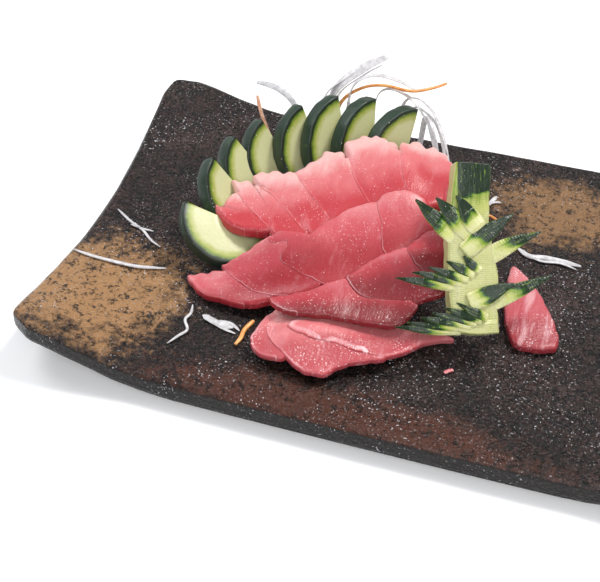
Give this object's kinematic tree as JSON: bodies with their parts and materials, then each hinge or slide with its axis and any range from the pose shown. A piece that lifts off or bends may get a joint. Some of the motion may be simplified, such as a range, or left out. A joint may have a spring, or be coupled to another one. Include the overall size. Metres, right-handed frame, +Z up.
{
  "type": "sashimi plate",
  "caption": "Oblong dark stoneware plate with turned-up corners, serving sliced raw tuna on shredded daikon with a fan of cucumber slices and a fir-cut cucumber garnish.",
  "frame": {"origin": "centre of the plate's plan, at the height of the surface that its foot rests on", "axes": "+X along the plate's length, +Y towards its back, where the cucumber fan stands, +Z up"},
  "size_m": [0.3026, 0.19, 0.0701],
  "materials": {
    "stoneware": "dark mottled gloss glaze",
    "tuna": "moist raw fish",
    "cucumber": "moist cut cucumber",
    "fir": "moist cucumber, mostly rind",
    "daikon": "moist translucent shreds",
    "carrot": "moist shreds"
  },
  "bodies": {
    "root": {"plate": "stoneware", "daikon_heap": "daikon", "cucumber_1": "cucumber", "cucumber_2": "cucumber", "cucumber_3": "cucumber", "cucumber_4": "cucumber", "cucumber_5": "cucumber", "cucumber_6": "cucumber", "cucumber_7": "cucumber", "cucumber_8": "cucumber", "carrot_1": "carrot", "carrot_3": "carrot", "tuna_back_1": "tuna", "tuna_back_2": "tuna", "tuna_back_3": "tuna", "tuna_back_4": "tuna", "tuna_back_5": "tuna", "tuna_back_6": "tuna", "tuna_middle_1": "tuna", "tuna_middle_2": "tuna", "tuna_middle_3": "tuna", "tuna_middle_4": "tuna", "tuna_front_1": "tuna", "tuna_front_2": "tuna", "tuna_front_3": "tuna", "tuna_low_1": "tuna", "tuna_low_2": "tuna", "tuna_low_3": "tuna", "tuna_right": "tuna", "daikon_loose_1": "daikon", "daikon_loose_2": "daikon", "daikon_loose_3": "daikon", "daikon_loose_4": "daikon", "daikon_loose_5": "daikon", "daikon_loose_6": "daikon", "carrot_2": "carrot", "carrot_4": "carrot", "tuna_crumb": "tuna", "cucumber_fir": "fir"}
  },
  "joints": []
}
